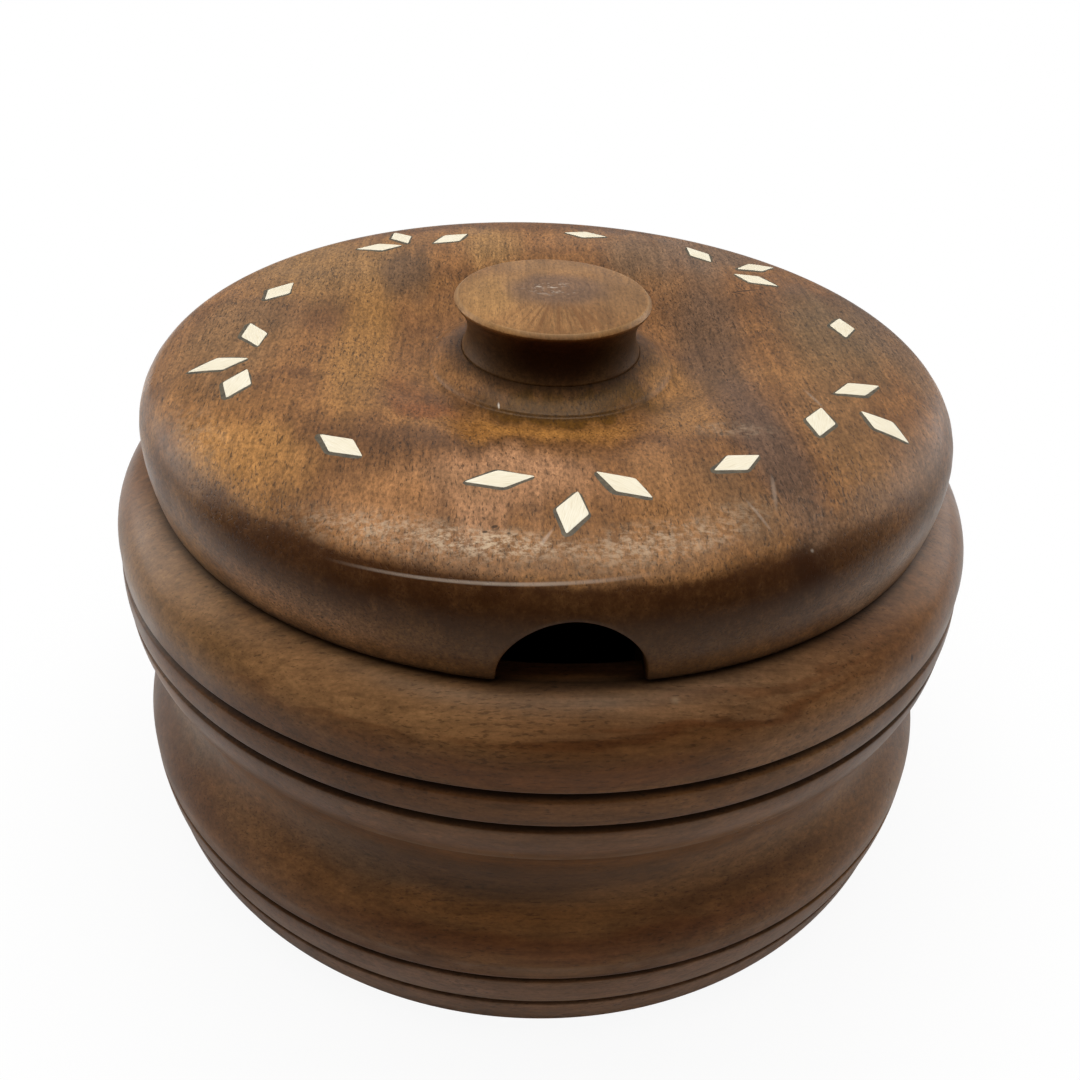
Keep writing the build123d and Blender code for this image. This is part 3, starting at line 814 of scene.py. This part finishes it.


# The lid's wood. The painted shade on the wall's front, a dark band, lies between pairs of heights or
# places, in metres, where it fades in
lidWoodSet = {
    "turn": 90,            # from front to back
    "warmth": (1.0, 0.96, 0.80),
    "fray": (0.004, 0.018, 0.004), "bands": (7.0, 52.0, 30.0),
    "ramp": [
        (0.28, (0.105, 0.048, 0.022)), (0.42, (0.175, 0.080, 0.034)), (0.53, (0.240, 0.112, 0.044)),
        (0.66, (0.300, 0.146, 0.056)), (0.80, (0.360, 0.188, 0.078)),
    ],
    "streaks": 0.5, "speckle": 0.85, "pores": 0.68, "roughness": (0.24, 0.44), "bump": 0.22,
    "patches": [
        ((-38, 28, 78), (22, 26, 40), 0, (0.275, 0.155, 0.068), 0.70, 0.3),
        ((-50, -4, 78), (12, 26, 40), 0, (0.215, 0.125, 0.066), 0.60, 0.3),
        ((-43, -37, 78), (17, 10, 40), -40, (0.385, 0.190, 0.066), 0.80, 0.3),
        ((-30, -4, 78), (7, 34, 40), 0, (0.320, 0.160, 0.052), 0.75, 0.3),
        ((-25, 27, 78), (6, 15, 40), 0, (0.105, 0.060, 0.038), 0.80, 0.4),
        ((-21, -16, 78), (5, 12, 40), 0, (0.185, 0.074, 0.028), 0.65, 0.3),
        ((-9, 40, 78), (9, 16, 40), 0, (0.330, 0.185, 0.078), 0.70, 0.3),
        ((18, 36, 78), (9, 20, 40), 0, (0.165, 0.098, 0.060), 0.75, 0.3),
        ((-3, -27, 78), (24, 10.0, 40), 4, (0.330, 0.150, 0.040), 0.80, 0.2),
        ((-19, -22, 78), (7, 6, 40), 20, (0.200, 0.068, 0.022), 0.70, 0.2),
        ((-14, -28, 78), (7, 5, 40), 0, (0.190, 0.080, 0.022), 0.60, 0.2),
        ((-8, -46, 78), (17, 12, 40), 0, (0.400, 0.212, 0.125), 0.75, 0.3),
        ((-24, -50, 78), (9, 12, 40), 0, (0.350, 0.170, 0.078), 0.70, 0.3),
        ((-14, -45, 78), (11, 5, 40), 0, (0.230, 0.122, 0.068), 0.50, 0.2),
        ((13, -48, 78), (9, 13, 40), 0, (0.285, 0.142, 0.064), 0.60, 0.3),
        ((19, -16, 78), (8, 22, 40), 0, (0.290, 0.140, 0.046), 0.75, 0.4),
        ((40, -26, 78), (9, 30, 40), 0, (0.225, 0.120, 0.056), 0.60, 0.3),
        ((47, 2, 78), (13, 24, 40), 0, (0.135, 0.088, 0.050), 0.70, 0.3),
        ((57, 10, 78), (7.5, 34, 40), 0, (0.120, 0.074, 0.050), 0.65, 0.3),
        ((28.5, -32, 78), (6.5, 32, 40), 3, (0.105, 0.061, 0.046), 0.88, 0.3),
        ((22, -47, 78), (8, 9, 40), 0, (0.155, 0.084, 0.044), 0.65, 0.3),
        ((27, 8, 78), (8.5, 34, 40), -4, (0.115, 0.068, 0.048), 0.75, 0.3),
        # Painted shadow of the knob on the front of the pad
        ((2, -17, 78), (19, 6.4, 40), 0, (0.100, 0.046, 0.006), 0.88, 0.5),
        ((-36, -52, 71), (20, 14, 5.0), 0, (0.360, 0.180, 0.090), 0.75, 0.3),
        ((42, -47, 70), (14, 14, 4.5), 0, (0.270, 0.180, 0.140), 0.60, 0.3),
        ((31, 38, 78), (14, 16, 40), 0, (0.150, 0.100, 0.075), 0.60, 0.3),
        ((50, -34, 77), (12, 20, 8), 25, (0.150, 0.088, 0.056), 0.60, 0.3),
        ((36, -45, 81), (15, 7, 4), 14, (0.130, 0.076, 0.050), 0.50, 0.3),
        ((30, -54.5, 80), (5.6, 7, 6), 0, (0.024, 0.014, 0.011), 0.93, 0.30),
    ],
    "shadeBandTop": (0.0824, 0.0811), "shadeBandFoot": (0.0705, 0.0780), "shadeBandFront": (-0.006, -0.048),
    "shadeBandLeft": (-0.060, -0.024), "shadeBandRight": (0.050, 0.024), "shadeBandColour": (0.042, 0.013, 0.003),
    # The low patch is painted shade on the wall's front, beside the notch
    "lowShadePatch": ((3, -62, 71), (33, 18, 8.5), 0, 0.4), "lowShadeColour": (0.050, 0.020, 0.008),
    "scuffsAndSheen": [            # pale scuffs and painted sheen, on the crown's front
        ((-20, -54.0, 82), (21, 4.6, 4), -16, 0.74), ((-8, -56.2, 82), (12, 3.4, 4), -6, 0.90),
        ((9, -56.0, 82), (15, 5.0, 5), 14, 0.66), ((20, -51, 82), (9, 5, 4), 30, 0.36),
        ((-50, -30, 80), (6, 14, 6), 30, 0.30), ((24, -29, 83), (9, 4, 4), -10, 0.35),
    ],
    "scuffAndSheenColour": (0.52, 0.38, 0.25),
    "nicks": [             # small and pale, with a chip on the pad and two specks
        ((-8.6, -17.4, 80.2), (0.22, 0.8, 1.2), 5, 0.90), ((29.8, -54.4, 80.4), (0.5, 0.5, 0.5), 0, 0.60),
        ((-18.6, 7.5, 80.5), (0.30, 0.35, 2.0), 0, 0.70), ((26.5, -45, 82), (0.45, 5, 4), -7, 0.13),
        ((23.5, -50, 82), (0.35, 4, 4), 22, 0.14), ((38, -20, 83), (0.40, 4, 4), 14, 0.12),
        ((-3.5, -55.5, 82), (0.35, 2.6, 4), -30, 0.22),
    ],
    "nickColour": (0.72, 0.64, 0.54),
    "pits": [              # beside the front sprig and to the right of the pad
        ((-9.6, -53.4, 82), (0.55, 0.35, 3), 20, 0.85), ((-10.8, -54.3, 82), (0.45, 0.30, 3), 0, 0.85),
        ((-7.9, -54.6, 82), (0.30, 0.30, 3), 0, 0.70), ((36.2, 21.0, 83), (3.2, 0.30, 3), 12, 0.80),
        ((34.4, 20.0, 83), (1.6, 0.26, 3), -35, 0.70),
    ],
    "pitColour": (0.018, 0.008, 0.004),
    # A thin painted highlight along the crown's turn, at this height and rise
    "highlightHeight": 0.08045, "highlightRise": 0.045, "highlightEdge": (0.00022, 0.00004),
    "highlightReach": ((-11, -61, 80), (24, 9, 4), -6, 0.2), "highlightColour": (0.62, 0.50, 0.40),
    "worn": (0.34, 0.25, 0.18),
}


def lidWear(desk, coordinates, colour, roughness):
    # Painted shade: the wall's front is darker than the crown, in a band with a soft lower and a firm upper
    # edge
    w = lidWoodSet
    x, y, z = desk.node("ShaderNodeSeparateXYZ", i0=coordinates).outputs
    wander = desk.noise(desk.stretched(coordinates, (110, 110, 160)), 1.0, 5.0, 0.7)
    height = desk.math("MULTIPLY_ADD", wander, 0.0028, z)
    cloudy = desk.math("MULTIPLY_ADD", desk.noise(coordinates, 320.0, 5.0, 0.75), 1.0, 0.42, clamp=True)
    leftShare = desk.math("MULTIPLY_ADD", desk.between(x, *w["shadeBandLeft"]), 0.5, 0.5)
    rightShare = desk.math("MULTIPLY_ADD", desk.between(x, *w["shadeBandRight"]), 0.65, 0.35)
    shadeBand = desk.times(desk.between(height, *w["shadeBandTop"]), desk.between(height, *w["shadeBandFoot"]),
                      desk.between(y, *w["shadeBandFront"]), leftShare, desk.times(rightShare, cloudy))
    colour = desk.tinted(colour, shadeBand, 0.96, w["shadeBandColour"])
    # More painted shade, low on the wall's front
    low = desk.times(patchMask(desk, coordinates, *w["lowShadePatch"]), cloudy)
    colour = desk.tinted(colour, low, 0.72, w["lowShadeColour"])
    # A net of fine scratches inside the long scuffs, which also carry a painted sheen
    grain = desk.stretched(coordinates, (1, 1, 1), (0, 0, w["turn"]))
    fine = desk.noise(desk.stretched(grain, (1500, 900, 900)), 1.0, 5.0, 0.75)
    broad = desk.noise(coordinates, 340.0, 5.0, 0.75)
    crackle = desk.between(desk.math("MULTIPLY_ADD", broad, 0.4, desk.times(fine, 0.7)), 0.48, 0.68)
    scuffedAndSheen = desk.times(spotSum(desk, coordinates, w["scuffsAndSheen"], 0.1), crackle, clamp=True)
    colour = desk.mix(scuffedAndSheen, colour, w["scuffAndSheenColour"])
    for rows, solid, tint in (("nicks", 0.3, "nickColour"), ("pits", 0.5, "pitColour")):
        mask = desk.math("MINIMUM", spotSum(desk, coordinates, w[rows], solid), 0.9)
        colour = desk.mix(mask, colour, w[tint])
    # A thin painted highlight where the crown turns down, rising a little to the right
    level = desk.math("MULTIPLY_ADD", x, -w["highlightRise"], z)
    off = desk.math("ABSOLUTE", desk.math("SUBTRACT", level, w["highlightHeight"]))
    reach = patchMask(desk, coordinates, *w["highlightReach"])
    thin = desk.times(desk.between(off, *w["highlightEdge"]), desk.times(reach, cloudy))
    colour = desk.tinted(colour, thin, 0.52, w["highlightColour"])
    colour = desk.tinted(colour, desk.attribute("worn"), 0.5, w["worn"])
    return colour, desk.math("MULTIPLY_ADD", scuffedAndSheen, 0.15, roughness)


# The knob's wood
knobWoodSet = {
    "turn": 90,
    "warmth": (0.97, 0.92, 0.82),
    "fray": (0.0030, 0.0040, 0.0015), "bands": (75.0, 22.0, 60.0),
    "ramp": [
        (0.28, (0.180, 0.088, 0.036)), (0.42, (0.240, 0.122, 0.048)), (0.53, (0.290, 0.152, 0.060)),
        (0.66, (0.340, 0.184, 0.074)), (0.80, (0.400, 0.228, 0.098)),
    ],
    "streaks": 0.42, "speckle": 0.50, "pores": 0.35, "roughness": (0.27, 0.42), "bump": 0.14,
    "patches": [
        ((-10, -1, 91), (7, 12, 4), 0, (0.365, 0.205, 0.078), 0.70, 0.3),
        ((11, 1, 91), (6, 12, 4), 0, (0.225, 0.122, 0.054), 0.75, 0.3),
        ((1, 11, 91), (12, 5, 4), 0, (0.270, 0.150, 0.068), 0.60, 0.3),
        ((0.8, 0.8, 91), (10.4, 8.4, 4), 0, (0.165, 0.094, 0.056), 0.92, 0.50),
        # Painted shade on the front of the neck, under the rim
        ((0, -14.5, 86), (13, 6, 5.5), 0, (0.100, 0.034, 0.010), 0.80, 0.5),
    ],
    "pith": (0.0008, 0.0012, 0),
    "rays": ((0.5, -9.5, 91), (10, 7, 4), 0, 0.4), "rayColour": (0.150, 0.058, 0.016),
    "eye": ((0.8, 1.2, 91), (8.0, 6.4, 4), 0, 0.5), "eyeColour": (0.085, 0.042, 0.026),
    "eyeTurn": 5200.0,     # radians per metre: a growth ring every 1.2 mm
    "rubbed": ((-0.3, 1.0, 91), (6.4, 4.0, 4), 0, 0.1), "rubbedColour": (0.50, 0.42, 0.34),
    "worn": (0.46, 0.28, 0.13),
}


def knobWear(desk, coordinates, colour, roughness):
    # Rays spread from the pith: noise that changes only with the direction from it
    w = knobWoodSet
    local = desk.stretched(coordinates, (1, 1, 0), place=[-v for v in w["pith"]])
    rays = desk.between(desk.noise(desk.vector("NORMALIZE", local), 11.0, 4.0, 0.75), 0.46, 0.58)
    front = desk.times(patchMask(desk, coordinates, *w["rays"]), 0.62)
    colour = desk.mix(desk.times(rays, front), colour, w["rayColour"])
    # Growth rings: a sine of the distance from the pith
    distance = desk.vector("LENGTH", frayed(desk, local, w), output="Value")
    circles = desk.between(desk.math("SINE", desk.times(distance, w["eyeTurn"])), 0.1, 0.9)
    eye = desk.times(circles, patchMask(desk, coordinates, *w["eye"]))
    colour = desk.tinted(colour, eye, 0.35, w["eyeColour"])
    # Scratches from fingers in the middle, and a worn rim
    scratch = desk.noise(desk.stretched(coordinates, (900, 1500, 500), (0, 0, 35)), 1.0, 3.0, 0.6)
    scratch = desk.times(desk.between(scratch, 0.54, 0.66), patchMask(desk, coordinates, *w["rubbed"]))
    colour = desk.tinted(colour, scratch, 0.75, w["rubbedColour"])
    return desk.tinted(colour, desk.attribute("worn"), 0.3, w["worn"]), roughness


# Bone and filler
boneSet = {
    "ramp": [(0.25, (0.62, 0.52, 0.35)), (0.42, (0.79, 0.72, 0.55)), (0.70, (0.88, 0.83, 0.70))],
    "clouds": [(0.3, (0.86, 0.80, 0.68)), (0.7, 1.05)],
    "roughness": [(0.2, 0.45), (0.8, 0.32)],
}
fillerSet = {
    "ramp": [(0.3, (0.028, 0.021, 0.010)), (0.7, (0.110, 0.084, 0.046))],
    "roughness": 0.6,
}


def boneMaterial():
    # Fine lines along each diamond, over soft clouds
    desk = NodeDesk("boneIvory")
    lines = desk.noise(desk.stretched(desk.attribute("alongBone", "Vector"), (0.25, 4.0, 1.0)), 1.6, 4.0, 0.6)
    colour = desk.ramp(lines, boneSet["ramp"])
    cloud = desk.noise(desk.objectPlace(), 160.0, 2.0)
    colour = desk.mix(0.4, colour, desk.layered(colour, 1.0, cloud, boneSet["clouds"]))
    return desk.finish(colour, desk.ramp(lines, boneSet["roughness"]), desk.bump(lines, 0.15, 0.1))


def fillerMaterial():
    # Dark grit
    desk = NodeDesk("darkFiller")
    grit = desk.noise(desk.objectPlace(), 900.0, 3.0, 0.7)
    return desk.finish(desk.ramp(grit, fillerSet["ramp"]), fillerSet["roughness"], desk.bump(grit, 0.4, 0.1))


# Painted shade with grime, and wear, as a number between 0 and 1 at every vertex, for a material to read.
# Widths and distances are in millimetres
def shadeOn(obj, name, values):
    attribute = obj.data.attributes.new(name, "FLOAT", "POINT")
    attribute.data.foreach_set("value", np.asarray(values, np.float32))


def vertexPlaces(obj):
    # Distance from the axis and height of every vertex, and how far it lies to the front, from
    # 0 behind to 1
    flat = np.empty(3 * len(obj.data.vertices))
    obj.data.vertices.foreach_get("co", flat)
    x, y, z = flat.reshape(-1, 3).T / mm
    r = np.hypot(x, y)
    return r, z, np.clip(0.5 - 0.6 * y / np.maximum(r, 1), 0, 1)


def lineShade(value, middle, width, strength=1.0):
    # A soft line: the bell curve of the distance from its middle
    return strength * np.exp(-((value - middle) / width) ** 2)


def shadeBowl(obj):
    # Painted shade along the lid's seat and under the lip, and painted shade with grime in the grooves; two
    # arrises are worn
    b, rim = bowlSet, bowlSet["rimHeight"]
    r, z = vertexPlaces(obj)[:2]
    lip = rim - b["lipDrop"]
    seated = lineShade(r, lidSet["edgeRadius"] - 0.6, 0.9, 0.9) * (z > rim - 2)
    shadeAndGrime = [seated, lineShade(z, lip - 1.0, 0.7, 0.55)]
    shadeAndGrime += [lineShade(z, rim - drop, 0.62) for drop in (b["shoulderGroove"], b["lipGroove"])]
    shadeAndGrime += [lineShade(z, height, 0.42, 0.95) for height in (b["footGroove"], b["baseGroove"][1])]
    worn = lineShade(z, lip + 0.25, 0.3) + lineShade(z, b["footCrest"], 0.3, 0.5)
    outside = r > b["mouthRadius"] + 1
    shadeOn(obj, "shadeAndGrime", np.max(shadeAndGrime, axis=0) * outside)
    shadeOn(obj, "worn", np.clip(worn, 0, 1) * outside)


def shadeLid(obj):
    # Painted shade over the seat, round the knob's foot, on the pad where the knob shades it and in the
    # valley round it, most at the front; on the underside only near the seat's outer edge
    d, seat, foot = lidSet, bowlSet["rimHeight"], knobSet["footRadius"]
    r, z, front = vertexPlaces(obj)
    top = z > seat + d["hollowRise"] + 0.5
    shadeAndGrime = np.max([
        lineShade(z, seat - 0.1, 1.5, 0.92),
        lineShade(r, foot - 0.3, 0.3, 0.3) * top,
        lineShade(np.maximum(r - foot, 0), 0, 2.5, 0.14 + 0.70 * front) * top,
        lineShade(r, d["padRadius"] + 0.1, 0.5, 0.25 * front) * top,
    ], axis=0)
    shadeOn(obj, "shadeAndGrime", np.where(z < seat + 0.01, lineShade(r, d["edgeRadius"], 1.8, 0.92), shadeAndGrime))
    shadeOn(obj, "worn", lineShade(r, d["padRadius"] - d["padEdgeWidth"] - 0.1, 0.25, 0.15) * top)


def shadeKnob(obj):
    # Painted shade lies round the waist under the rim, most at the front, and in the line at the foot; the
    # rim is worn
    k = knobSet
    r, z, front = vertexPlaces(obj)
    foot = bowlSet["rimHeight"] + lidSet["padRise"]
    under = foot + k["rimRise"]
    neck = lineShade(z - under, -3.8, 6.0, 0.38 + 0.50 * front) * (z < under + 0.3)
    shadeOn(obj, "shadeAndGrime", np.maximum(neck, lineShade(z, foot - 0.1, 0.35, 0.3)))
    shadeOn(obj, "worn", lineShade(z, under + k["rimThickness"] - 0.1, 0.25) * (r > k["rimRadius"] - 0.8))


# Building
def dress(obj, material, body, slotName, *nodes):
    obj.data.materials.clear()
    obj.data.materials.append(material)
    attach(obj, body)
    if nodes:
        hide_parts(*nodes)


bowlWood = woodMaterial("bowlWood", bowlWoodSet, bowlWear)
lidWood = woodMaterial("lidWood", lidWoodSet, lidWear)
knobWood = woodMaterial("knobWood", knobWoodSet, knobWear)
bone = boneMaterial()
filler = fillerMaterial()

bowlBody = turnedPiece("bowlBody", bowlProfile(), bowlSet["columns"])
dress(bowlBody, bowlWood, "bowl", "body_wood", "bowl")
shadeBowl(bowlBody)
print("bowl turned:", len(bowlBody.data.vertices), "vertices")

lidShell = makeLidShell()
dress(lidShell, lidWood, "lid", "lid_wood", "lid")
shadeLid(lidShell)
print("lid turned and notched:", len(lidShell.data.vertices), "vertices")

knobBody = turnedPiece("knobBody", knobProfile(), knobSet["columns"])
dress(knobBody, knobWood, "lid", "knob_wood", "knob")
shadeKnob(knobBody)

for node, boneSlab, fillerSlab in makeInlays(lidOutside()):
    dress(boneSlab, bone, "lid", "bone", node)
    dress(fillerSlab, filler, "lid", "lid_wood")
print("knob and inlays in place")


# Floor, light and camera, in metres
floorSet = {
    "half": 6.0,
    "fade": (-0.10, 0.12), "front": (0.78, 0.77, 0.76), "back": (0.88, 0.88, 0.88),
    "shadowReach": (0.07, 0.13),     # the shadow is kept inside this reach
    "shadowless": 0.93,              # and this share of it is taken away even there
}
lightSet = {
    # Place, size, power and tint of each lamp
    "topLight": ((0.0, 0.04, 0.60), (0.50, 0.56), 3.5, (1.0, 0.985, 0.96)),
    "leftLight": ((-0.60, 0.24, 0.30), (0.40, 0.50), 2.0, (0.96, 0.98, 1.0)),
    "rightLight": ((0.60, 0.30, 0.30), (0.40, 0.50), 1.5, (0.96, 0.98, 1.0)),
    "backLight": ((0.0, 1.10, 0.50), (2.20, 0.80), 2.3, (0.97, 0.98, 1.0)),
}
lightAim = (0, 0, 0.06)
skyStrength = 0.08

# The view of the photograph, measured from the turned circles. The notch faces -Y.
cameraSet = {
    "azimuth": -4.25,      # degrees from straight in front of the notch
    "elevation": 32.6,
    "roll": 2.98,
    "distance": 0.1959,
    "target": (0.0, 0.0, 0.0537),
    "lens": 37.17,
    "shift": (-0.0029, -0.0455),
}


def floorMaterial():
    # Pale floor: white to the camera, with the object's shadow kept in part
    desk = NodeDesk("paleFloor")
    s = floorSet
    coordinates = desk.objectPlace()
    depth = desk.node("ShaderNodeSeparateXYZ", i0=coordinates).outputs[1]
    cloth = desk.mix(desk.between(depth, *s["fade"]), s["front"], s["back"])
    diffuse = desk.node("ShaderNodeBsdfDiffuse", Color=cloth).outputs[0]
    glow = desk.node("ShaderNodeEmission", Color=(1, 1, 1), Strength=1.0).outputs[0]
    far = desk.vector("LENGTH", coordinates, output="Value")
    white = desk.between(far, *s["shadowReach"], s["shadowless"], 1.0)
    seen = desk.times(desk.node("ShaderNodeLightPath").outputs["Is Camera Ray"], white)
    return desk.surface(desk.node("ShaderNodeMixShader", i0=seen, i1=diffuse, i2=glow).outputs[0])


def makeFloor():
    data = bpy.data.meshes.new("floor")
    half = floorSet["half"]
    corners = [(-half, -half, 0), (half, -half, 0), (half, half, 0), (-half, half, 0)]
    data.from_pydata(corners, [], [(0, 1, 2, 3)])
    obj = bpy.data.objects.new("floor", data)
    bpy.context.scene.collection.objects.link(obj)
    data.materials.append(floorMaterial())


def makeWorld():
    # Faint light from all sides, and plain white to the camera
    world = bpy.data.worlds.new("plainSurroundings")
    bpy.context.scene.world = world
    world.use_nodes = True
    tree = world.node_tree
    tree.nodes.clear()
    path = tree.nodes.new("ShaderNodeLightPath")
    plain = tree.nodes.new("ShaderNodeBackground")
    plain.inputs["Strength"].default_value = skyStrength
    white = tree.nodes.new("ShaderNodeBackground")
    white.inputs["Color"].default_value = (1, 1, 1, 1)
    mixed = tree.nodes.new("ShaderNodeMixShader")
    out = tree.nodes.new("ShaderNodeOutputWorld")
    tree.links.new(path.outputs["Is Camera Ray"], mixed.inputs[0])
    tree.links.new(plain.outputs[0], mixed.inputs[1])
    tree.links.new(white.outputs[0], mixed.inputs[2])
    tree.links.new(mixed.outputs[0], out.inputs["Surface"])


def makeLight(name, place, size, power, tint):
    data = bpy.data.lights.new(name, "AREA")
    data.shape = "RECTANGLE"
    data.size, data.size_y = size
    data.energy = power
    data.color = tint
    obj = bpy.data.objects.new(name, data)
    bpy.context.scene.collection.objects.link(obj)
    obj.visible_camera = False
    obj.location = place
    aim = Vector(lightAim) - Vector(place)
    obj.rotation_euler = aim.to_track_quat("-Z", "Y").to_euler()


def makeCamera():
    # The camera's axes: back from its bearing and height, across and upward turned by the roll
    c = cameraSet
    a, e, roll = (math.radians(c[k]) for k in ("azimuth", "elevation", "roll"))
    back = Vector((math.sin(a) * math.cos(e), -math.cos(a) * math.cos(e), math.sin(e)))
    right = Vector((math.cos(a), math.sin(a), 0))
    up = back.cross(right)
    across = math.cos(roll) * right + math.sin(roll) * up
    upward = math.cos(roll) * up - math.sin(roll) * right
    data = bpy.data.cameras.new("photoView")
    data.sensor_fit = "HORIZONTAL"
    data.sensor_width = 36.0
    data.lens = c["lens"]
    data.shift_x, data.shift_y = c["shift"]
    data.clip_start, data.clip_end = 0.01, 20.0
    obj = bpy.data.objects.new("photoView", data)
    bpy.context.scene.collection.objects.link(obj)
    turn = Matrix((across, upward, back)).transposed().to_4x4()
    obj.matrix_world = Matrix.Translation(Vector(c["target"]) + back * c["distance"]) @ turn
    bpy.context.scene.camera = obj


makeFloor()
makeWorld()
for lightName, lamp in lightSet.items():
    makeLight(lightName, *lamp)
makeCamera()
bpy.context.scene.view_settings.view_transform = "Standard"
print("floor, light and camera ready")
